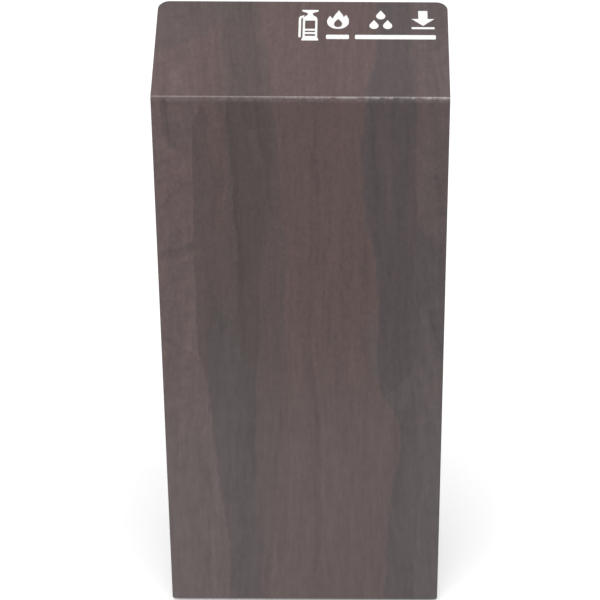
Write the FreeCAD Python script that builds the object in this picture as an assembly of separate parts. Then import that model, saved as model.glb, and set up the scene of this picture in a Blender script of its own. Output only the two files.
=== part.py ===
# Fire extinguisher cover: one folded sheet that stands on the floor in front of an extinguisher.
# Millimetres, +Z up. The front faces -Y, +X is to the viewer's right.
# The origin is on the floor, under the centre of the footprint.
import FreeCAD, Part
import math
import os
from FreeCAD import Vector

os.makedirs("parts", exist_ok=True)

# The sheet: laminated steel, the same thickness and bends all over.
sheetThickness = 1.2
insideBendRadius = 1.8

# Front panel.
panelWidth = 265.0
foldHeight = 555.0          # floor to the sharp corner that the top bend rounds off
panelCornerRadius = 5.0     # bottom corners

# Flap, rising to the back from the panel's top edge.
flapLength = 124.0          # from the same sharp corner to the far edge
flapRise = 20.0             # degrees above the horizontal
flapCornerRadius = 10.5

# Foot, folded back from the panel's bottom edge. The extinguisher stands on it.
footDepth = 150.0           # front face to rear edge
footCornerRadius = 10.0

# Rubber pads stuck under the foot.
padDiameter = 12.0
padThickness = 1.0
padEdgeChamfer = 0.25
padMargin = 3.0             # to the foot's side and rear edges
padToBend = 1.0             # from the end of the bottom bend to the front pads

# Places worked out from the sizes above.
outsideBendRadius = insideBendRadius + sheetThickness
panelHalfWidth = panelWidth / 2
footHalfWidth = panelHalfWidth - panelCornerRadius
frontFace = -footDepth / 2
rearEdge = footDepth / 2
bendEnd = frontFace + outsideBendRadius
footUnderside = padThickness
flapAngle = math.radians(flapRise)
flapDirection = Vector(0, math.cos(flapAngle), math.sin(flapAngle))
flapInward = Vector(0, math.sin(flapAngle), -math.cos(flapAngle))
foldCorner = Vector(0, frontFace, foldHeight)
flapEdge = foldCorner + flapDirection * flapLength


# An open wire through the points, with each corner between the ends rounded to the radius.
def roundedPath(points, radius):
    edges = []
    start = points[0]
    for before, corner, after in zip(points, points[1:], points[2:]):
        back = (before - corner).normalize()
        ahead = (after - corner).normalize()
        halfAngle = back.getAngle(ahead) / 2
        toArcEnds = radius / math.tan(halfAngle)
        toArcMiddle = radius / math.sin(halfAngle) - radius
        arcStart = corner + back * toArcEnds
        arcMiddle = corner + (back + ahead).normalize() * toArcMiddle
        arcEnd = corner + ahead * toArcEnds
        edges.append(Part.LineSegment(start, arcStart).toShape())
        edges.append(Part.Arc(arcStart, arcMiddle, arcEnd).toShape())
        start = arcEnd
    edges.append(Part.LineSegment(start, points[-1]).toShape())
    return Part.Wire(edges)


# Foot, panel and flap as one bent strip, as wide as the panel.
def foldedStrip():
    outerPath = roundedPath([
        Vector(0, rearEdge, footUnderside),
        Vector(0, frontFace, footUnderside),
        foldCorner,
        flapEdge,
    ], outsideBendRadius)
    section = outerPath.makeOffset2D(sheetThickness, 0, True, True)
    strip = section.extrude(Vector(panelWidth, 0, 0))
    strip.translate(Vector(-panelHalfWidth, 0, 0))
    return strip


# What is cut away beside the foot and outside one rounded bottom corner of the panel.
def cornerWaste(side):
    overrun = sheetThickness
    width = panelCornerRadius + overrun
    height = footUnderside + panelCornerRadius
    beside = Part.makeBox(width, footDepth, height, Vector(footHalfWidth, bendEnd, 0))
    ahead = Part.makeBox(width, outsideBendRadius + overrun, height,
                         Vector(footHalfWidth, frontFace - overrun, 0))
    corner = Part.makeCylinder(panelCornerRadius, outsideBendRadius + overrun,
                               Vector(footHalfWidth, frontFace - overrun, height), Vector(0, 1, 0))
    waste = beside.fuse(ahead.cut(corner))
    if side < 0:
        waste = waste.mirror(Vector(0, 0, 0), Vector(1, 0, 0))
    return waste


# The edge of a shape that lies nearest to a point.
def edgeNear(shape, point):
    return min(shape.Edges, key=lambda edge: edge.CenterOfMass.distanceToPoint(point))


def coverSheet():
    sheet = foldedStrip()
    for side in (-1, 1):
        sheet = sheet.cut(cornerWaste(side))
    sheet = sheet.removeSplitter()
    flapCorners = []
    footCorners = []
    for side in (-1, 1):
        acrossFlap = Vector(side * panelHalfWidth, 0, 0) + flapEdge + flapInward * (sheetThickness / 2)
        acrossFoot = Vector(side * footHalfWidth, rearEdge, footUnderside + sheetThickness / 2)
        flapCorners.append(edgeNear(sheet, acrossFlap))
        footCorners.append(edgeNear(sheet, acrossFoot))
    sheet = sheet.makeFillet(flapCornerRadius, flapCorners)
    footCorners = [edgeNear(sheet, edge.CenterOfMass) for edge in footCorners]
    return sheet.makeFillet(footCornerRadius, footCorners)


def rubberPad(x, y):
    pad = Part.makeCylinder(padDiameter / 2, padThickness, Vector(x, y, 0))
    lowerRim = edgeNear(pad, Vector(x, y, 0))
    return pad.makeChamfer(padEdgeChamfer, [lowerRim])


parts = {"cover_sheet": coverSheet()}

padX = footHalfWidth - padMargin - padDiameter / 2
frontPadY = bendEnd + padToBend + padDiameter / 2
rearPadY = rearEdge - padMargin - padDiameter / 2
for row, y in (("front", frontPadY), ("rear", rearPadY)):
    for side, x in (("left", -padX), ("right", padX)):
        parts[f"pad_{row}_{side}"] = rubberPad(x, y)

for name, shape in parts.items():
    shape.exportStep(f"parts/{name}.step")
    print(name, shape.ShapeType, round(shape.Volume, 1), "mm3")
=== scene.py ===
import math
import bpy
from mathutils import Matrix, Vector


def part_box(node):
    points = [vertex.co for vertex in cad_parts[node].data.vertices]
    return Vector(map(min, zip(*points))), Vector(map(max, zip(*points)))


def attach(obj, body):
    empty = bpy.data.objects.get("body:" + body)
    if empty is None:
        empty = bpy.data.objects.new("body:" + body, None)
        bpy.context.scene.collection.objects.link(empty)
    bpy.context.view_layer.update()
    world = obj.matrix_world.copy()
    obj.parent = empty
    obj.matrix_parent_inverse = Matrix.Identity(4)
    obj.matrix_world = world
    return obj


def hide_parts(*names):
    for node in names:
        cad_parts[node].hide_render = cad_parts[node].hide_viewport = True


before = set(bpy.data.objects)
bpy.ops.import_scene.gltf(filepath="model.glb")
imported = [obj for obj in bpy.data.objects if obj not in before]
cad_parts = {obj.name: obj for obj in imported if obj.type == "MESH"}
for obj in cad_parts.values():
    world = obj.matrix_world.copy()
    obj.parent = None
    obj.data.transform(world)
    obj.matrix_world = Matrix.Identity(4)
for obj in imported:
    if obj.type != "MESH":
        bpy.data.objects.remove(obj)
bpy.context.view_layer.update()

# metres everywhere; the front faces -Y and the floor is at z = 0
perMetre = 1000.0               # for what is given in millimetres

sheet = {
    "thickness": 0.0012,
    "insideBend": 0.0018,
    "foldHeight": 0.555,        # floor to the sharp corner that the top bend rounds off
    "flapRise": 20.0,           # degrees above the horizontal
    "panelCorner": 0.005,
    "flapCorner": 0.0105,
    "footCorner": 0.010,
    "edgeRounding": 0.00018,    # how far the cut edges are broken
    "edgeSteps": 3,
    "bendSteps": 16,
    "cornerSteps": 10,
}


def describeSheet():
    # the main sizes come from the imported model, so the mesh lies exactly on it
    low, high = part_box("cover_sheet")
    outside = sheet["insideBend"] + sheet["thickness"]
    rise = math.radians(sheet["flapRise"])
    bend = math.pi / 2 - rise
    halfWidth = (high.x - low.x) / 2
    return {
        "low": low,
        "high": high,
        "outside": outside,
        "rise": rise,
        "topBend": bend,
        "setback": outside * math.tan(bend / 2),
        "halfWidth": halfWidth,
        "footHalf": halfWidth - sheet["panelCorner"],
        "flapLength": (high.z - sheet["foldHeight"]) / math.sin(rise),
        "flapAlong": Vector((0, math.cos(rise), math.sin(rise))),
        "flapUp": Vector((0, -math.sin(rise), math.cos(rise))),
        "foldCorner": Vector((0, low.y, sheet["foldHeight"])),
    }


made = describeSheet()


def placed(name, data):
    # a new object with this data, in the scene
    item = bpy.data.objects.new(name, data)
    bpy.context.collection.objects.link(item)
    return item


def sheetRows():
    # rows across the sheet, from the foot's rear edge to the flap's far edge
    low, high, outside = made["low"], made["high"], made["outside"]
    rows = []

    def addRow(y, z, tilt, kind, share=0.0):
        normal = Vector((0, -math.cos(tilt), math.sin(tilt)))
        rows.append({"at": Vector((0, y, z)), "normal": normal, "kind": kind, "share": share})

    straightDown = -math.pi / 2
    for i in range(sheet["cornerSteps"] + 1):
        addRow(high.y, low.z, straightDown, "footEnd", i / sheet["cornerSteps"])
    for i in range(sheet["bendSteps"] + 1):
        tilt = straightDown * (1 - i / sheet["bendSteps"])
        addRow(low.y + outside * (1 - math.cos(tilt)), low.z + outside * (1 + math.sin(tilt)), tilt, "panel")
    for i in range(1, sheet["cornerSteps"] + 1):
        rest = sheet["panelCorner"] - outside
        addRow(low.y, low.z + outside + rest * i / sheet["cornerSteps"], 0.0, "panel")
    bendHeight = sheet["foldHeight"] - made["setback"]
    for i in range(sheet["bendSteps"] + 1):
        tilt = made["topBend"] * i / sheet["bendSteps"]
        addRow(low.y + outside * (1 - math.cos(tilt)), bendHeight + outside * math.sin(tilt), tilt, "panel")
    flapEdge = made["foldCorner"] + made["flapAlong"] * made["flapLength"]
    for i in range(sheet["cornerSteps"] + 1):
        addRow(flapEdge.y, flapEdge.z, made["topBend"], "flapEnd", i / sheet["cornerSteps"])
    return rows


def rowReach(row, inset):
    # half width of a row, and how far it stops short of the sheet's end,
    # with the outline drawn in by the inset
    swing = math.pi / 2 * row["share"]
    if row["kind"] == "footEnd":
        radius = sheet["footCorner"]
        half = made["footHalf"] - radius + (radius - inset) * math.sin(swing)
        return half, radius - (radius - inset) * math.cos(swing)
    if row["kind"] == "flapEnd":
        radius = sheet["flapCorner"]
        half = made["halfWidth"] - radius + (radius - inset) * math.cos(swing)
        return half, radius - (radius - inset) * math.sin(swing)
    radius = sheet["panelCorner"]
    below = radius - (row["at"].z - made["low"].z)
    if below <= 0:
        return made["halfWidth"] - inset, 0.0
    square = (radius - inset) ** 2 - below ** 2
    if square < 0:
        return made["footHalf"] - inset, 0.0
    return made["footHalf"] + math.sqrt(square), 0.0


def rimPoint(row, inset, depth, side):
    half, short = rowReach(row, inset)
    point = row["at"] - row["normal"] * depth
    if row["kind"] == "footEnd":
        point.y -= short
    if row["kind"] == "flapEnd":
        point -= made["flapAlong"] * short
    point.x = side * half
    return point


def rimRings():
    # inset, depth and slant of the normal for each ring round the edge, from the film side to the inner side
    rounding, thickness, steps = sheet["edgeRounding"], sheet["thickness"], sheet["edgeSteps"]
    rings = []
    for i in range(steps + 1):
        slant = math.pi / 2 * i / steps
        rings.append((rounding * (1 - math.sin(slant)), rounding * (1 - math.cos(slant)), slant))
    for inset, depth, slant in reversed(rings[:steps + 1]):
        rings.append((inset, thickness - depth, math.pi - slant))
    return rings


def buildSheet():
    rows, rings = sheetRows(), rimRings()
    loop = [(row, 1) for row in rows] + [(row, -1) for row in reversed(rows)]
    points, normals = [], []
    for inset, depth, slant in rings:
        for row, side in loop:
            sideways = rimPoint(row, 0.0, 0.0, side) - rimPoint(row, sheet["edgeRounding"], 0.0, side)
            sideways.normalize()
            points.append(rimPoint(row, inset, depth, side))
            normals.append((row["normal"] * math.cos(slant) + sideways * math.sin(slant)).normalized())
    count = len(loop)
    faces, slots = [], []
    for ring in range(len(rings) - 1):
        first, second = ring * count, (ring + 1) * count
        for i in range(count):
            j = (i + 1) % count
            faces.append((first + i, second + i, second + j, first + j))
            slots.append(1)
    inner = (len(rings) - 1) * count
    for i in range(len(rows) - 1):
        j = i + 1
        across, acrossNext = count - 1 - i, count - 1 - j
        faces.append((i, j, acrossNext, across))
        slots.append(0)
        faces.append((inner + i, inner + across, inner + acrossNext, inner + j))
        slots.append(2)
    mesh = bpy.data.meshes.new("foldedSheet")
    mesh.from_pydata([tuple(point) for point in points], [], faces)
    for polygon, slot in zip(mesh.polygons, slots):
        polygon.material_index = slot
        polygon.use_smooth = True
    mesh.normals_split_custom_set_from_vertices([tuple(normal) for normal in normals])
    return placed("folded_sheet", mesh)


class Shading:
    # short names for wiring one material's nodes
    def __init__(self, name):
        self.material = bpy.data.materials.new(name)
        self.material.use_nodes = True
        self.tree = self.material.node_tree
        self.shader = self.tree.nodes["Principled BSDF"]

    def put(self, socket, value):
        if isinstance(value, bpy.types.NodeSocket):
            self.tree.links.new(value, socket)
        else:
            socket.default_value = value

    def surface(self, **values):
        for label, value in values.items():
            self.put(self.shader.inputs[label.replace("_", " ")], value)

    def math(self, operation, first, second=0.0, third=0.0):
        node = self.tree.nodes.new("ShaderNodeMath")
        node.operation = operation
        for socket, value in zip(node.inputs, (first, second, third)):
            self.put(socket, value)
        return node.outputs[0]

    def ramp(self, value, low, high, start=0.0, end=1.0):
        # a smooth step from start to end as the value goes from low to high
        node = self.tree.nodes.new("ShaderNodeMapRange")
        node.interpolation_type = "SMOOTHSTEP"
        for label, number in (("From Min", low), ("From Max", high), ("To Min", start), ("To Max", end)):
            self.put(node.inputs[label], number)
        self.put(node.inputs["Value"], value)
        return node.outputs["Result"]

    def curve(self, value, points):
        # a drawn curve through points, both axes from 0 to 1
        node = self.tree.nodes.new("ShaderNodeFloatCurve")
        line = node.mapping.curves[0].points
        for point in points[2:]:
            line.new(*point)
        for spot, point in zip(line, sorted(points)):
            spot.location = point
        node.mapping.update()
        self.put(node.inputs["Value"], value)
        return node.outputs["Value"]

    def vector(self, x, y, z=0.0):
        node = self.tree.nodes.new("ShaderNodeCombineXYZ")
        for socket, value in zip(node.inputs, (x, y, z)):
            self.put(socket, value)
        return node.outputs[0]

    def noise(self, x, y, width, length, detail=2.0, roughness=0.5, seed=0.0):
        # soft noise around zero, in patches of the given width and length
        node = self.tree.nodes.new("ShaderNodeTexNoise")
        node.inputs["Scale"].default_value = 1.0
        node.inputs["Detail"].default_value = detail
        node.inputs["Roughness"].default_value = roughness
        spot = self.vector(self.math("DIVIDE", x, width), self.math("DIVIDE", y, length), seed)
        self.put(node.inputs["Vector"], spot)
        return self.math("ADD", node.outputs[0], -0.5)

    def stroke(self, x, y, drawing):
        # one soft line from start to end, bowed to one side and thinner at its ends;
        # the arch is a quarter in the middle and zero at both ends
        (x1, y1), (x2, y2) = drawing["start"], drawing["end"]
        length = math.hypot(x2 - x1, y2 - y1)
        dx, dy = (x2 - x1) / length, (y2 - y1) / length
        u, v = self.math("ADD", x, -x1), self.math("ADD", y, -y1)
        run = self.math("MULTIPLY_ADD", u, dx / length, self.math("MULTIPLY", v, dy / length))
        off = self.math("MULTIPLY_ADD", u, -dy, self.math("MULTIPLY", v, dx))
        arch = self.math("MULTIPLY", run, self.math("SUBTRACT", 1.0, run))
        reach = self.math("ABSOLUTE", self.math("MULTIPLY_ADD", arch, -4 * drawing["bow"], off))
        body = self.ramp(reach, 0.0, drawing["width"], drawing["strength"], 0.0)
        return self.math("MULTIPLY", body, self.ramp(arch, 0.0, 0.10))

    def mix(self, share, first, second):
        node = self.tree.nodes.new("ShaderNodeMix")
        node.data_type = "RGBA"
        self.put(node.inputs[0], share)
        for socket, value in ((node.inputs[6], first), (node.inputs[7], second)):
            self.put(socket, (*value, 1) if isinstance(value, tuple) else value)
        return node.outputs[2]

    def tinted(self, noise, colours):
        # from the first colour to the second over the range of soft noise
        return self.mix(self.ramp(noise, -0.3, 0.3), *colours)

    def scale(self, colour, amount):
        node = self.tree.nodes.new("ShaderNodeVectorMath")
        node.operation = "SCALE"
        self.put(node.inputs[0], colour)
        self.put(node.inputs["Scale"], amount)
        return node.outputs[0]

    def bump(self, height, distance, strength=1.0):
        node = self.tree.nodes.new("ShaderNodeBump")
        node.inputs["Strength"].default_value = strength
        node.inputs["Distance"].default_value = distance
        self.put(node.inputs["Height"], height)
        return node.outputs[0]

    def place(self):
        # where a point of the piece lies, in millimetres
        node = self.tree.nodes.new("ShaderNodeTexCoord")
        split = self.tree.nodes.new("ShaderNodeSeparateXYZ")
        self.tree.links.new(self.scale(node.outputs["Object"], perMetre), split.inputs[0])
        return split.outputs


# The printed walnut: fields of paler or darker wood over a ground, and single strokes over them.
# Places are in millimetres: height along the unrolled sheet, and distance from its left edge.
# The pale wood on the left and the brown wood beside it share this edge.
paleBoundary = [(0, 57), (110, 55), (140, 51), (200, 46.5), (262, 41.5), (285, 35.5), (350, 33), (400, 32.5),
                (450, 34), (520, 36.5), (600, 58), (679, 48)]
walnut = {
    "width": 265.0,
    "length": 680.0,
    "fold": 555.0,
    "margin": 30.0,             # how far outside the sheet a field's edge may be drawn
    "gather": {"height": 277, "share": 0.13, "middle": 146},    # the grain draws together towards the foot
    "sweepStart": 480,          # above it the grain on the left leans over
    "curlSlant": -0.5,
    "patchyShare": 0.125,
    # the pale film of the rubbed edges, also used for the painted highlights along the fold and the painted
    # floor reflection at the foot
    "wearAndHighlightColour": (0.38, 0.34, 0.33),
    "roughness": 0.36,
    "relief": (0.00005, 0.5),   # metres, and how much of it shows
    "patches": {                # width, length, detail, roughness and seed of each noise
        "wander": (70, 190, 2, 0.5, 0.0),
        "ripple": (14, 45, 3, 0.5, 3.1),
        "fray": (2.2, 11, 3, 0.5, 7.7),
        "lift": (9, 12, 3, 0.5, 5.3),
        "broad": (16, 260, 2, 0.5, 11.0),
        "middle": (4.4, 60, 3, 0.5, 17.0),
        "fibre": (0.9, 24, 3, 0.5, 23.0),
        "curl": (30, 15, 3, 0.5, 31.0),
        "mottle": (6, 15, 4, 0.6, 41.0),
        "dapple": (3.2, 5.2, 4, 0.65, 83.0),
        "fleck": (2.6, 15, 2, 0.5, 47.0),
        "pore": (0.42, 7, 1, 0.5, 53.0),
        "stretchAndHighlight": (6, 60, 4, 0.7, 61.0),
        "patchy": (5, 9, 3, 0.5, 64.0),
        "rubbed": (3, 6, 4, 0.7, 67.0),
        "emboss": (0.55, 2.6, 3, 0.6, 71.0),
    },
    "amounts": {                # how strongly each of them acts, the first six in millimetres
        "wander": 8,
        "ripple": 7,
        "fray": 6,
        "lift": 12,
        "grainWander": 14,
        "grainRipple": 5,
        "broad": 0.46,
        "middle": 0.48,
        "fibre": 0.24,
        "curl": 0.48,
        "mottle": 0.50,
        "dapple": 0.75,
        "fleck": 0.07,
        "pore": -0.16,
        "patchy": 0.45,
        "poreRelief": -0.7,
        "middleRough": 0.08,
        "poreRough": 0.10,
    },
    "steps": {                  # smooth steps: from, to, and the share at each of them
        "lowerToneAndSheen": (370, 150, 0.0, 1.0),
        "fade": (-20, 5),       # the shares are each field's own
        "sweep": (60, 140, 0.16, 0.0),
        "curlLeft": (26, 40, 1.0, 0.25),
        "curlRight": (236, 250, 0.0, 0.8),
        "curlUp": (180, 320, 0.5, 1.0),
        "dapple": (120, 420, 0.25, 1.0),
        "fleck": (0.12, 0.26, 0.0, 1.0),
        "pore": (0.14, 0.24, 0.0, 1.0),
        "topShade": (600, 680, 0.0, -0.06),
        "footBounceLight": (0, 45, 0.05, 0.0),
        "paintedShadeOnFlap": (-1, 1, 1.0, 0.94),
        "stretchAndHighlight": (-0.14, 0.12, 0.0, 1.0),
        "stretchAndHighlightAcross": (40, 250, 0.08, 0.66),
        "foldLine": (0.6, 1.9, 1.0, 0.0),
        "haloRise": (-6, -2, 0.0, 1.0),
        "haloFall": (-2.5, 2, 1.0, 0.0),
        "rubbed": (0.0, 0.2, 0.0, 1.0),
        "rubbedSide": (0.2, 0.9, 0.14, 0.0),
        "footBendReflection": (2, 5, 0.10, 0.0),
    },
    "tones": {                  # upper part, then lower part; the lower part is lighter and greyer, partly the wood's own tone and partly a painted sheen of the floor's reflection
        "ground": ((0.085, 0.049, 0.046), (0.103, 0.072, 0.069)),
        "pale": ((0.109, 0.067, 0.066), (0.119, 0.089, 0.087)),
        "brown": ((0.072, 0.047, 0.043), (0.094, 0.067, 0.066)),
        "dusk": ((0.066, 0.048, 0.046), (0.083, 0.064, 0.065)),
        "dark": ((0.057, 0.038, 0.035), (0.072, 0.055, 0.055)),
        "vein": ((0.046, 0.029, 0.027), (0.060, 0.044, 0.043)),
        "plum": ((0.066, 0.048, 0.049), (0.088, 0.067, 0.069)),
        "slate": ((0.056, 0.037, 0.039), (0.072, 0.056, 0.057)),
        "red": ((0.064, 0.036, 0.034), (0.080, 0.055, 0.052)),
        "ash": ((0.085, 0.058, 0.059), (0.087, 0.071, 0.074)),
        "sand": ((0.1046, 0.0703, 0.068), (0.119, 0.089, 0.087)),
    },
    # soft: how wide the left and right edges blend; fade: how much of the field runs on over the flap
    "fields": {
        "paleSide": {
            "tone": "pale", "strength": 0.95, "soft": (2, 3), "fade": 0.1,
            "left": [(0, -25), (679, -25)],
            "right": paleBoundary,
        },
        "sandSide": {
            "tone": "sand", "strength": 0.8, "soft": (2, 12), "fade": 0.4,
            "left": [(0, -25), (679, -25)],
            "right": [(0, -25), (270, -25), (300, 34), (400, 35), (430, 10), (495, 10), (512, 38),
                      (560, 42), (620, 36), (679, -25)],
        },
        "besidePale": {
            "tone": "brown", "strength": 0.9, "soft": (2, 6), "fade": 1.0,
            "left": paleBoundary,
            "right": [(0, 99), (60, 101), (120, 107), (200, 112), (330, 117), (450, 115), (555, 108),
                      (679, 92)],
        },
        "lowDusk": {
            "tone": "dusk", "strength": 0.9, "soft": (2, 6), "fade": 1.0,
            "left": [(0, 59), (110, 57), (140, 53), (200, 48.5), (260, 44), (300, 43), (330, 47),
                     (360, 70), (679, 75)],
            "right": [(0, 90), (60, 88), (150, 87), (260, 88), (310, 90), (360, 60), (679, 60)],
        },
        "lowCore": {
            "tone": "dark", "strength": 0.72, "soft": (4, 3), "fade": 1.0,
            "left": [(0, 92), (140, 85), (180, 81), (260, 76), (300, 73), (679, 90)],
            "right": [(0, 75), (140, 84), (200, 86), (260, 87), (300, 91), (679, 75)],
        },
        "redStrip": {
            "tone": "ground", "strength": 0.6, "soft": (3, 3), "fade": 1.0,
            "left": [(0, 75), (390, 66), (430, 55), (480, 53), (515, 45), (545, 43), (679, 62)],
            "right": [(0, 55), (390, 60), (430, 62), (480, 65), (545, 65), (679, 57)],
        },
        "leftDark": {
            "tone": "dark", "strength": 0.95, "soft": (1.6, 13), "fade": 0.6,
            "left": [(0, 100), (240, 95), (275, 78), (300, 71), (350, 71.5), (385, 73.5), (405, 75),
                     (440, 72), (480, 70), (550, 67), (600, 64), (679, 52)],
            "right": [(0, 90), (240, 80), (275, 84), (300, 90), (370, 90), (440, 106), (550, 104),
                      (620, 92), (679, 86)],
        },
        "leftVein": {
            "tone": "vein", "strength": 0.8, "soft": (1.5, 6), "fade": 1.0,
            "left": [(0, 120), (340, 80), (375, 74), (405, 75), (440, 71.5), (500, 69), (550, 67),
                     (590, 76), (679, 80)],
            "right": [(0, 100), (340, 72), (375, 79), (405, 80), (440, 77), (500, 74.5), (550, 71),
                      (590, 70), (679, 60)],
        },
        "centreStreak": {
            "tone": "red", "strength": 0.55, "soft": (7, 4), "fade": 1.0,
            "left": [(0, 143), (100, 141), (180, 142), (280, 138), (320, 137), (360, 138), (400, 140),
                     (480, 140.5), (520, 144), (679, 147)],
            "right": [(0, 146.5), (100, 147), (200, 149), (240, 147), (280, 143.5), (320, 143),
                      (360, 144.5), (400, 147), (480, 147), (520, 147.5), (679, 148)],
        },
        "paleSliver": {
            "tone": "ash", "strength": 0.65, "soft": (2, 2), "fade": 1.0,
            "left": [(0, 210), (255, 203), (270, 196), (330, 193), (345, 199), (679, 215)],
            "right": [(0, 190), (255, 202), (270, 202), (330, 200), (345, 198), (679, 190)],
        },
        "rightPlum": {
            "tone": "plum", "strength": 0.9, "soft": (3.5, 9), "fade": 1.0,
            "left": [(0, 213), (60, 214), (130, 219), (180, 226), (205, 228), (245, 209), (330, 203),
                     (400, 198), (430, 191), (555, 190), (610, 198), (679, 200)],
            "right": [(0, 243), (100, 245), (150, 248), (200, 243), (260, 258), (300, 268), (400, 258),
                      (430, 241), (555, 237), (679, 234)],
        },
        "rightSlate": {
            "tone": "slate", "strength": 0.9, "soft": (4, 3), "fade": 1.0,
            "left": [(0, 240), (200, 232), (235, 214), (250, 205), (350, 204), (395, 203), (430, 193),
                     (555, 191), (610, 200), (679, 202)],
            "right": [(0, 220), (225, 202), (243, 211), (254, 222), (268, 234), (290, 240), (400, 241),
                      (450, 238), (555, 234), (679, 231)],
        },
        "lowRight": {
            "tone": "dark", "strength": 0.5, "soft": (2, 5), "fade": 1.0,
            "left": [(0, 213), (60, 214), (130, 219), (180, 226), (205, 228), (225, 229), (260, 240),
                     (679, 290)],
            "right": [(0, 242), (100, 244), (150, 246), (200, 242), (225, 243), (260, 246), (679, 250)],
        },
        "rightEdge": {
            "tone": "plum", "strength": 0.6, "soft": (7, 2), "fade": 1.0,
            "left": [(0, 262), (200, 256), (240, 240), (410, 240), (450, 272), (679, 280)],
            "right": [(0, 292), (679, 292)],
        },
        "rightAsh": {
            "tone": "ash", "strength": 0.8, "soft": (6, 2), "fade": 1.0,
            "left": [(0, 245), (100, 246), (150, 249), (200, 244), (250, 262), (400, 262), (430, 242),
                     (555, 240), (679, 235)],
            "right": [(0, 292), (679, 292)],
        },
        "flapCorner": {
            "tone": "plum", "strength": 0.45, "soft": (4, 12), "fade": 1.0,
            "left": [(0, -25), (679, -25)],
            "right": [(0, -20), (590, -20), (620, 20), (650, 60), (679, 66)],
        },
    },
    "strokes": [                # dark where the strength is below zero
        {"start": (1, 436), "end": (36, 472), "bow": 5.0, "width": 5.5, "strength": -0.20},
        {"start": (3, 452), "end": (32, 486), "bow": 5.0, "width": 6.0, "strength": 0.10},
        {"start": (0, 391), "end": (36, 404), "bow": 3.0, "width": 6.5, "strength": -0.20},
        {"start": (2, 376), "end": (33, 392), "bow": 4.0, "width": 5.0, "strength": 0.09},
        {"start": (0, 352), "end": (30, 372), "bow": 4.0, "width": 4.0, "strength": -0.07},
        {"start": (0, 310), "end": (38, 275), "bow": 2.5, "width": 3.5, "strength": -0.12},
        {"start": (18, 300), "end": (39, 281), "bow": 1.0, "width": 4.0, "strength": 0.10},
        {"start": (12, 562), "end": (19, 500), "bow": -3.0, "width": 7.5, "strength": -0.24},
        {"start": (4, 516), "end": (29, 474), "bow": 3.0, "width": 14.0, "strength": 0.10},
        {"start": (37, 558), "end": (42, 526), "bow": -2.0, "width": 3.5, "strength": -0.10},
        {"start": (40, 515), "end": (39, 370), "bow": 2.0, "width": 7.0, "strength": -0.08},
        {"start": (55, 524), "end": (60, 452), "bow": 2.0, "width": 3.5, "strength": -0.11},
        {"start": (63, 512), "end": (67, 472), "bow": 0.5, "width": 2.5, "strength": 0.10},
        {"start": (93, 566), "end": (100, 498), "bow": -2.0, "width": 4.0, "strength": -0.15},
        {"start": (101, 506), "end": (108, 430), "bow": -1.0, "width": 4.5, "strength": -0.10},
        {"start": (86, 524), "end": (95, 486), "bow": 1.0, "width": 6.0, "strength": 0.26},
        {"start": (91, 380), "end": (94, 325), "bow": 1.0, "width": 3.0, "strength": 0.10},
        {"start": (45, 340), "end": (57, 312), "bow": 2.0, "width": 7.0, "strength": -0.10},
        {"start": (50, 558), "end": (56, 486), "bow": 0.0, "width": 9.0, "strength": 0.08},
        {"start": (54, 426), "end": (60, 322), "bow": 0.0, "width": 9.0, "strength": 0.10},
        {"start": (112, -30), "end": (121, 210), "bow": 0.0, "width": 20.0, "strength": 0.12},
        {"start": (80, -30), "end": (85, 135), "bow": 0.0, "width": 12.0, "strength": 0.06},
        {"start": (231, 405), "end": (231, 255), "bow": 0.0, "width": 9.0, "strength": -0.10},
        {"start": (126, 425), "end": (127, 185), "bow": 0.0, "width": 11.0, "strength": 0.05},
        {"start": (153, 215), "end": (153, -15), "bow": 0.0, "width": 5.0, "strength": 0.05},
        {"start": (190, 215), "end": (191, -20), "bow": 0.0, "width": 13.0, "strength": -0.04},
        {"start": (191, 410), "end": (192, 285), "bow": 0.0, "width": 8.0, "strength": -0.06},
        {"start": (30, 562), "end": (27, 500), "bow": 1.0, "width": 12.0, "strength": -0.07},
        {"start": (55, 556), "end": (52, 500), "bow": 0.0, "width": 8.0, "strength": 0.06},
        {"start": (98, 2), "end": (110, 118), "bow": 0.0, "width": 4.0, "strength": 0.06},
        {"start": (143, 560), "end": (146, 500), "bow": -1.0, "width": 2.5, "strength": -0.08},
        {"start": (142, 508), "end": (146, 458), "bow": 1.5, "width": 3.0, "strength": -0.14},
        {"start": (148, 376), "end": (148, 264), "bow": 0.0, "width": 5.0, "strength": 0.05},
        {"start": (199, 420), "end": (205, 394), "bow": 1.0, "width": 3.5, "strength": -0.16},
        {"start": (196, 524), "end": (200, 436), "bow": 1.5, "width": 4.0, "strength": -0.11},
        {"start": (206, 520), "end": (212, 440), "bow": 2.0, "width": 5.0, "strength": 0.15},
        {"start": (151, 240), "end": (150, 50), "bow": 1.0, "width": 2.6, "strength": 0.10},
        {"start": (28, 170), "end": (31, 128), "bow": 2.0, "width": 7.0, "strength": 0.08},
        {"start": (36, 152), "end": (47, 96), "bow": 2.0, "width": 3.5, "strength": -0.10},
        {"start": (214, 550), "end": (220, 505), "bow": -4.0, "width": 6.0, "strength": -0.10},
        {"start": (253, 480), "end": (259, 434), "bow": 2.0, "width": 5.0, "strength": -0.11},
        {"start": (203, 256), "end": (230, 200), "bow": 3.0, "width": 4.5, "strength": -0.10},
        {"start": (234, 240), "end": (224, 110), "bow": -4.0, "width": 11.0, "strength": -0.10},
        {"start": (251, 346), "end": (268, 282), "bow": -3.0, "width": 4.5, "strength": -0.20},
        {"start": (243, 344), "end": (252, 280), "bow": 1.5, "width": 6.0, "strength": 0.24},
        {"start": (241, 276), "end": (257, 228), "bow": 1.5, "width": 6.0, "strength": 0.16},
        {"start": (254, 292), "end": (260, 238), "bow": 1.0, "width": 6.0, "strength": 0.10},
        {"start": (243, 252), "end": (259, 222), "bow": 1.0, "width": 8.0, "strength": 0.07},
        {"start": (256, 442), "end": (257, 338), "bow": 0.0, "width": 9.0, "strength": 0.11},
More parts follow.
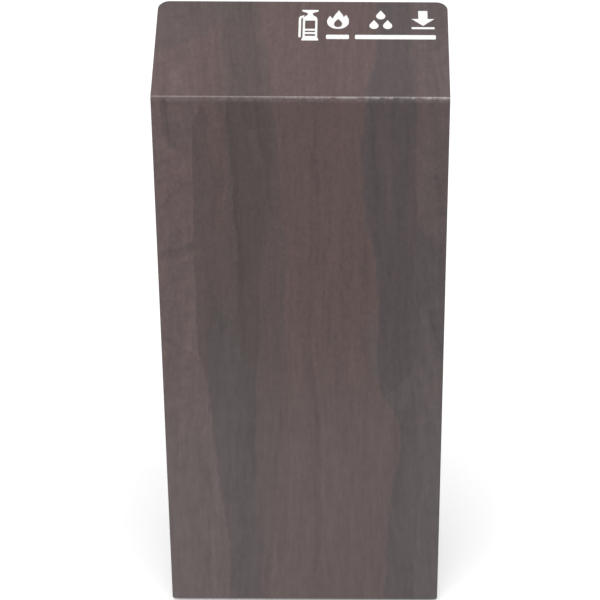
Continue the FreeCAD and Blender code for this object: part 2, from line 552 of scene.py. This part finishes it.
        {"start": (252, 720), "end": (252, 552), "bow": 0.0, "width": 22.0, "strength": -0.09},
        {"start": (6, 606), "end": (33, 558), "bow": 2.0, "width": 9.0, "strength": 0.08},
        {"start": (49, 680), "end": (63, 558), "bow": -1.5, "width": 3.2, "strength": -0.14},
        {"start": (61, 650), "end": (77, 570), "bow": 0.5, "width": 3.0, "strength": -0.16},
        {"start": (83, 688), "end": (99, 546), "bow": 1.5, "width": 3.5, "strength": -0.18},
        {"start": (28, 690), "end": (46, 580), "bow": 2.0, "width": 7.0, "strength": -0.08},
        {"start": (70, 700), "end": (78, 540), "bow": 2.0, "width": 16.0, "strength": -0.07},
    ],
}


def walnutFilm():
    s = Shading("walnutFilm")
    x, y, z = s.place()
    unfold = (1 - math.sin(made["rise"])) / math.cos(made["rise"])
    across = s.math("ADD", x, walnut["width"] / 2)
    along = s.math("MULTIPLY_ADD", s.math("ADD", y, -made["low"].y * perMetre), unfold, z)
    above = s.math("ADD", along, -walnut["fold"])       # from the fold, up the flap

    def patches(name, right, up):
        return s.noise(right, up, *walnut["patches"][name])

    def add(name, value, to):
        return s.math("MULTIPLY_ADD", value, walnut["amounts"][name], to)

    def step(name, value):
        return s.ramp(value, *walnut["steps"][name])

    # the drawing wanders a little, at three sizes
    wander = patches("wander", across, along)
    ripple = patches("ripple", across, along)
    drawn = add("wander", wander, across)
    drawn = add("ripple", ripple, drawn)
    drawn = add("fray", patches("fray", across, along), drawn)
    drawnUp = add("lift", patches("lift", across, along), along)

    # every field lies over the ones before it
    # towards the foot the lower tones take over: the wood's own tone together with a painted sheen of the
    # floor's reflection
    low = step("lowerToneAndSheen", along)
    height = s.math("DIVIDE", along, walnut["length"])
    margin, span = walnut["margin"], walnut["width"] + 2 * walnut["margin"]
    colour = s.mix(low, *walnut["tones"]["ground"])
    for field in walnut["fields"].values():
        edges = []
        for side in ("left", "right"):
            points = [(up / walnut["length"], (out + margin) / span) for up, out in field[side]]
            edges.append(s.math("MULTIPLY_ADD", s.curve(height, points), span, -margin))
        softLeft, softRight = (soft / 2 for soft in field["soft"])
        fromLeft = s.ramp(s.math("SUBTRACT", drawn, edges[0]), -softLeft, softLeft)
        fromRight = s.ramp(s.math("SUBTRACT", edges[1], drawn), -softRight, softRight)
        mask = s.math("MULTIPLY", fromLeft, fromRight)
        onFlap = field["strength"] * field["fade"]
        share = s.ramp(above, *walnut["steps"]["fade"], field["strength"], onFlap)
        tone = s.mix(low, *walnut["tones"][field["tone"]])
        colour = s.mix(s.math("MULTIPLY", mask, share), colour, tone)

    # the grain follows the fields
    gather = walnut["gather"]
    upwards = s.math("ADD", along, -gather["height"])
    spread = s.math("MULTIPLY_ADD", upwards, gather["share"] / gather["height"], 1.0)
    grainAcross = s.math("MULTIPLY", s.math("ADD", across, -gather["middle"]), spread)
    grainAcross = add("grainWander", wander, grainAcross)
    grainAcross = add("grainRipple", ripple, grainAcross)
    aboveSweep = s.math("MAXIMUM", s.math("ADD", along, -walnut["sweepStart"]), 0)
    grainAcross = s.math("ADD", grainAcross, s.math("MULTIPLY", aboveSweep, step("sweep", across)))
    middle = patches("middle", grainAcross, along)
    light = add("broad", patches("broad", grainAcross, along), 1.0)
    light = add("middle", middle, light)
    light = add("fibre", patches("fibre", grainAcross, along), light)

    for stroke in walnut["strokes"]:
        light = s.math("ADD", light, s.stroke(drawn, drawnUp, stroke))

    # curly figure across the grain near both sides, then mottling, flecks and pores
    slant = s.math("MULTIPLY_ADD", across, walnut["curlSlant"], along)
    beside = s.math("ADD", step("curlLeft", across), step("curlRight", across))
    beside = s.math("MULTIPLY", beside, step("curlUp", along))
    light = add("curl", s.math("MULTIPLY", patches("curl", across, slant), beside), light)
    light = add("mottle", patches("mottle", grainAcross, along), light)
    dapple = s.math("MULTIPLY", patches("dapple", across, along), step("dapple", along))
    light = add("dapple", dapple, light)
    light = add("fleck", step("fleck", patches("fleck", grainAcross, slant)), light)
    pore = step("pore", patches("pore", grainAcross, along))
    light = add("pore", pore, light)
    light = s.math("ADD", light, step("topShade", along))
    # painted light: the lowest part of the panel is made lighter, standing in for the floor's bounce light
    light = s.math("ADD", light, step("footBounceLight", along))
    # painted shade: the flap's colour is made darker than the front's, to tone down how much more the lamps
    # light the flap
    colour = s.scale(colour, s.math("MULTIPLY", light, step("paintedShadeOnFlap", above)))

    # the film is pale over the fold: stretch-whitening with a painted highlight, brightest on its right; a
    # painted highlight around the fold; wear at the side edges; a painted floor reflection along the foot's
    # bend
    # painted highlight along the fold, with the film's stretch-whitening, broken up by noise and stronger
    # towards the right
    stretchAndHighlight = step("stretchAndHighlight", patches("stretchAndHighlight", across, along))
    stretchAndHighlight = s.math("MULTIPLY", stretchAndHighlight, step("stretchAndHighlightAcross", across))
    wearAndHighlight = s.math("MULTIPLY", stretchAndHighlight, step("foldLine", s.math("ABSOLUTE", above)))
    # painted highlight: a soft pale band around the fold, most of it below, standing in for the light on a
    # rounder bend, with some stretch-whitening
    foldHalo = s.math("MINIMUM", step("haloRise", above), step("haloFall", above))
    patchy = add("patchy", patches("patchy", across, along), walnut["patchyShare"])
    wearAndHighlight = s.math("MULTIPLY_ADD", foldHalo, patchy, wearAndHighlight)
    fromSide = s.math("MINIMUM", across, s.math("SUBTRACT", walnut["width"], across))
    rubbed = step("rubbed", patches("rubbed", across, along))
    sides = s.math("MULTIPLY", rubbed, step("rubbedSide", fromSide))
    # the rubbed sides are wear; the pale line along the foot's bend is a painted reflection of the floor
    wearAndHighlight = s.math("ADD", wearAndHighlight, s.math("ADD", sides, step("footBendReflection", along)))
    # wear together with painted highlights and a painted floor reflection, all in one pale colour
    colour = s.mix(wearAndHighlight, colour, walnut["wearAndHighlightColour"])

    relief = add("poreRelief", pore, patches("emboss", grainAcross, along))
    roughness = add("middleRough", middle, walnut["roughness"])
    roughness = add("poreRough", pore, roughness)
    s.surface(Base_Color=colour, Roughness=roughness, Normal=s.bump(relief, *walnut["relief"]))
    return s.material


bareEdge = {
    "streak": (0.6, 0.6, 3),    # width, length and detail
    "colours": ((0.016, 0.013, 0.012), (0.05, 0.042, 0.038)),
    "roughness": 0.5,
    "unevenness": 0.2,
}


def cutEdge():
    s = Shading("cutEdge")
    x, y, z = s.place()
    streak = s.noise(s.math("ADD", x, y), z, *bareEdge["streak"])
    roughness = s.math("MULTIPLY_ADD", streak, bareEdge["unevenness"], bareEdge["roughness"])
    s.surface(Base_Color=s.tinted(streak, bareEdge["colours"]), Roughness=roughness)
    return s.material


innerCoat = {
    "roller": (5.0, 170, 4, 0.6, 5.0),      # width, length, detail, roughness and seed of each noise
    "cloud": (50, 70, 4, 0.6, 9.0),
    "peel": (1.3, 1.3, 3, 0.5, 13.0),
    "tone": {"middle": 0.5, "roller": 0.5, "cloud": 0.8, "peel": 0.5},
    "colours": ((0.112, 0.106, 0.097), (0.188, 0.178, 0.165)),
    "gloss": {"middle": 0.47, "cloud": 0.18, "peel": 0.14},
    "relief": (0.00006, 0.7),
}


def serviceCoat():
    # the plain baked coat on the sheet's inner side
    s = Shading("serviceCoat")
    x, y, z = s.place()
    along = s.math("ADD", y, z)
    roller, cloud, peel = (s.noise(x, along, *innerCoat[name]) for name in ("roller", "cloud", "peel"))
    shares, gloss = innerCoat["tone"], innerCoat["gloss"]
    tone = s.math("MULTIPLY_ADD", cloud, shares["cloud"], shares["middle"])
    tone = s.math("MULTIPLY_ADD", roller, shares["roller"], tone)
    tone = s.math("MULTIPLY_ADD", peel, shares["peel"], tone)
    roughness = s.math("MULTIPLY_ADD", peel, gloss["peel"], gloss["middle"])
    roughness = s.math("MULTIPLY_ADD", cloud, gloss["cloud"], roughness)
    colour = s.mix(tone, *innerCoat["colours"])
    s.surface(Base_Color=colour, Roughness=roughness, Normal=s.bump(peel, *innerCoat["relief"]))
    return s.material


rubberFinish = {
    "grit": (0.35, 0.35, 3),    # width, length and detail
    "colours": ((0.012, 0.012, 0.012), (0.032, 0.031, 0.030)),
    "roughness": 0.72,
    "unevenness": 0.2,
    "relief": (0.00005, 0.5),
}


def padRubber():
    s = Shading("padRubber")
    x, y, z = s.place()
    grit = s.noise(x, y, *rubberFinish["grit"])
    roughness = s.math("MULTIPLY_ADD", grit, rubberFinish["unevenness"], rubberFinish["roughness"])
    s.surface(Base_Color=s.tinted(grit, rubberFinish["colours"]), Roughness=roughness)
    s.surface(Normal=s.bump(grit, *rubberFinish["relief"]))
    return s.material


inkFinish = {
    "mesh": (0.3, 0.3, 2),      # the screen's weave: width, length and detail
    "cloud": (6, 6, 3, 0.5, 4.0),
    "colours": ((0.84, 0.84, 0.84), (0.78, 0.78, 0.77)),
    "roughness": 0.48,
    "unevenness": 0.15,
    "relief": (0.00002, 0.4),
}


def whiteInk():
    s = Shading("whiteInk")
    x, y, z = s.place()
    mesh = s.noise(x, y, *inkFinish["mesh"])
    cloud = s.noise(x, y, *inkFinish["cloud"])
    roughness = s.math("MULTIPLY_ADD", mesh, inkFinish["unevenness"], inkFinish["roughness"])
    s.surface(Base_Color=s.tinted(cloud, inkFinish["colours"]), Roughness=roughness)
    s.surface(Normal=s.bump(mesh, *inkFinish["relief"]))
    return s.material


folded = buildSheet()
for finish in (walnutFilm(), cutEdge(), serviceCoat()):
    folded.data.materials.append(finish)
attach(folded, "root")
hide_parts("cover_sheet")
print("sheet folded")

rubber = padRubber()
for name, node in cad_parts.items():
    if name.startswith("pad_"):
        node.data.materials.clear()
        node.data.materials.append(rubber)
print("pads finished")

# The print on the flap, in millimetres: across from the sheet's middle, and up the flap from the fold.
sign = {
    "inkThickness": 0.08,
    "curveSteps": 10,           # between two points of a rounded outline
    "bars": [(21.7, 74.6, 42.5, 80.2), (47.9, 74.6, 121.1, 80.2)],
    "barCorner": 1.2,
    "canister": (7.1, 72.6),    # the middle of each symbol's base
    "flame": (32.4, 88.0),
    "drops": (71.3, 88.0),
    "arrow": (109.7, 88.0),
}


def arc(x, y, radius, start, end, steps=8):
    turns = [math.radians(start + (end - start) * i / steps) for i in range(steps + 1)]
    return [(x + radius * math.cos(turn), y + radius * math.sin(turn)) for turn in turns]


def box(left, bottom, right, top, corner=0.0):
    if corner <= 0:
        return [(left, bottom), (right, bottom), (right, top), (left, top)]
    outline = []
    for x, y, start in ((right - corner, bottom + corner, -90), (right - corner, top - corner, 0),
                        (left + corner, top - corner, 90), (left + corner, bottom + corner, 180)):
        outline += arc(x, y, corner, start, start + 90)
    return outline


def mirrored(half):
    # closes the right half of an outline over to the left
    return half + [(-point[0], *point[1:]) for point in reversed(half)]


def canisterShapes():
    body = mirrored([(7.6, 0), (7.6, 1.6), (6.6, 4.2), (6.6, 27.6), (5.8, 30.6), (2.4, 33.4), (2.4, 36.0),
                     (7.5, 38.2), (7.5, 40.2)])
    window = box(-4.6, 15.2, 4.6, 26.1, 0.8)
    stripes = [box(-4.6, 10.9, 4.6, 12.8), box(-4.6, 5.9, 4.6, 8.4)]
    hose = [(-5.4, 33.2), (-9.4, 31.6), (-10.4, 28.6), (-10.4, 4.2), (-8.2, 4.2), (-8.2, 28.2), (-7.5, 29.6),
            (-5.7, 30.6)]
    return [body, window, *stripes, hose]


def flameShapes():
    # a third value of one marks a rounded point
    outer = [(0.8, 24.4), (4.6, 17.2, 1), (5.2, 15.2), (7.4, 18.6), (9.9, 11.0, 1), (7.6, 3.2, 1), (0, 0, 1),
             (-7.6, 3.2, 1), (-9.9, 10.4, 1), (-7.4, 17.0), (-5.0, 13.4), (-3.0, 17.8, 1)]
    inner = [(0.2, 13.0), (3.6, 7.6, 1), (2.9, 3.6, 1), (0, 2.2, 1), (-2.9, 3.6, 1), (-3.4, 7.6, 1)]
    return [outer, inner]


def drop(x, bottom, radius, height):
    # the sides run straight from the tip on to the circle
    middle = bottom + radius
    lean = math.degrees(math.acos(radius / (height - radius)))
    return [(x, bottom + height), *arc(x, middle, radius, 90 - lean, -270 + lean, 20)]


def dropShapes():
    return [drop(0, 12.6, 4.2, 11.8), drop(-6.2, 0, 4.2, 11.8), drop(6.2, 0, 4.2, 11.8)]


def arrowShapes():
    half = [(10.4, 13.4), (4.2, 13.4), (4.2, 24.0)]
    arrow = [(0, 4.4), *mirrored(half)]
    return [arrow, box(-10.4, 0, 10.4, 2.6)]


def layInk(name, outlines, at):
    curve = bpy.data.curves.new(name, "CURVE")
    curve.dimensions = "2D"
    curve.fill_mode = "BOTH"
    halfInk = sign["inkThickness"] / 2 / perMetre
    curve.extrude = halfInk
    curve.resolution_u = sign["curveSteps"]
    for outline in outlines:
        line = curve.splines.new("BEZIER")
        line.bezier_points.add(len(outline) - 1)
        line.use_cyclic_u = True
        for spot, point in zip(line.bezier_points, outline):
            spot.co = ((at[0] + point[0]) / perMetre, (at[1] + point[1]) / perMetre, 0)
            rounded = len(point) > 2
            spot.handle_left_type = "AUTO" if rounded else "VECTOR"
            spot.handle_right_type = spot.handle_left_type
    drawn = placed(name + "_outline", curve)
    bpy.context.view_layer.update()
    mesh = bpy.data.meshes.new_from_object(drawn)
    bpy.data.objects.remove(drawn)
    lift = made["foldCorner"] + made["flapUp"] * halfInk
    turn = Matrix((Vector((1, 0, 0)), made["flapAlong"], made["flapUp"])).transposed().to_4x4()
    mesh.transform(Matrix.Translation(lift) @ turn)
    mesh.materials.clear()
    mesh.materials.append(ink)
    piece = placed(name, mesh)
    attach(piece, "root")


ink = whiteInk()
layInk("print_canister", canisterShapes(), sign["canister"])
layInk("print_flame", flameShapes(), sign["flame"])
layInk("print_drops", dropShapes(), sign["drops"])
layInk("print_arrow", arrowShapes(), sign["arrow"])
layInk("print_bars", [box(*bar, sign["barCorner"]) for bar in sign["bars"]], (0, 0))
print("print laid on the flap")

stage = {
    "floorColour": (0.8, 0.8, 0.8),
    "floorRoughness": 0.9,
    "floorGlow": 0.26,          # only for what the camera and reflections see
    "floorHalf": 12.0,
    "worldStrength": 0.46,
}


def seenShare(nodes, links):
    # one where the camera, a reflection or glass looks at the surface, else zero
    path = nodes.new("ShaderNodeLightPath")
    either = nodes.new("ShaderNodeMath")
    either.operation = "MAXIMUM"
    links.new(path.outputs["Is Camera Ray"], either.inputs[0])
    links.new(path.outputs["Is Glossy Ray"], either.inputs[1])
    seen = nodes.new("ShaderNodeMath")
    seen.operation = "MAXIMUM"
    links.new(either.outputs[0], seen.inputs[0])
    links.new(path.outputs["Is Transmission Ray"], seen.inputs[1])
    return seen.outputs[0]


def makeFloor():
    half = stage["floorHalf"]
    mesh = bpy.data.meshes.new("studioFloor")
    corners = [(-half, -half, 0), (half, -half, 0), (half, half, 0), (-half, half, 0)]
    mesh.from_pydata(corners, [], [(0, 1, 2, 3)])
    floor = placed("studioFloor", mesh)
    s = Shading("paleFloor")
    glow = s.math("MULTIPLY", seenShare(s.tree.nodes, s.tree.links), stage["floorGlow"])
    s.surface(Base_Color=(*stage["floorColour"], 1), Roughness=stage["floorRoughness"])
    s.surface(Specular_IOR_Level=0.0)
    s.surface(Emission_Color=(1, 1, 1, 1), Emission_Strength=glow)
    mesh.materials.append(s.material)


def makeWorld():
    world = bpy.data.worlds.new("studioWorld")
    bpy.context.scene.world = world
    world.use_nodes = True
    nodes, links = world.node_tree.nodes, world.node_tree.links
    background = nodes["Background"]
    background.inputs["Color"].default_value = (1, 1, 1, 1)
    strength = nodes.new("ShaderNodeMath")
    strength.operation = "MULTIPLY_ADD"
    links.new(seenShare(nodes, links), strength.inputs[0])
    strength.inputs[1].default_value = 1 - stage["worldStrength"]
    strength.inputs[2].default_value = stage["worldStrength"]
    links.new(strength.outputs[0], background.inputs["Strength"])


lamps = {
    "ceilingPanel": {"kind": "SUN", "elevation": 74.0, "azimuth": -14.0, "strength": 1.9, "spread": 38.0},
    "overheadBox": {"kind": "AREA", "at": (0.42, -0.50, 2.3), "aim": (0.0, -0.07, 0.55),
                    "size": 0.42, "watts": 5.0},
}


def makeLamps():
    for name, lamp in lamps.items():
        light = bpy.data.lights.new(name, lamp["kind"])
        holder = placed(name, light)
        if lamp["kind"] == "SUN":
            high, turn = math.radians(lamp["elevation"]), math.radians(lamp["azimuth"])
            flat = math.cos(high)
            source = Vector((math.sin(turn) * flat, -math.cos(turn) * flat, math.sin(high)))
            light.energy = lamp["strength"]
            light.angle = math.radians(lamp["spread"])
            holder.rotation_euler = (-source).to_track_quat("-Z", "Y").to_euler()
        else:
            light.size = lamp["size"]
            light.energy = lamp["watts"]
            holder.location = lamp["at"]
            aim = Vector(lamp["aim"]) - Vector(lamp["at"])
            holder.rotation_euler = aim.to_track_quat("-Z", "Y").to_euler()


camera = {
    "at": (0.0509, -1.9241, 1.4175),
    "tilt": 30.024,             # degrees down
    "roll": 0.265,
    "lens": 138.18,             # millimetres
    "sensor": 36.0,
    "shiftX": -0.0951,
    "sight": 50.0,              # how far it sees
}


def makeCamera():
    data = bpy.data.cameras.new("productCamera")
    data.sensor_width = camera["sensor"]
    data.lens = camera["lens"]
    data.shift_x = camera["shiftX"]
    data.clip_end = camera["sight"]
    holder = placed("productCamera", data)
    tilt = Matrix.Rotation(math.radians(90 - camera["tilt"]), 4, "X")
    roll = Matrix.Rotation(math.radians(camera["roll"]), 4, "Z")
    holder.matrix_world = Matrix.Translation(camera["at"]) @ tilt @ roll
    bpy.context.scene.camera = holder


makeFloor()
makeWorld()
makeLamps()
makeCamera()
bpy.context.scene.view_settings.view_transform = "Standard"
print("studio ready")
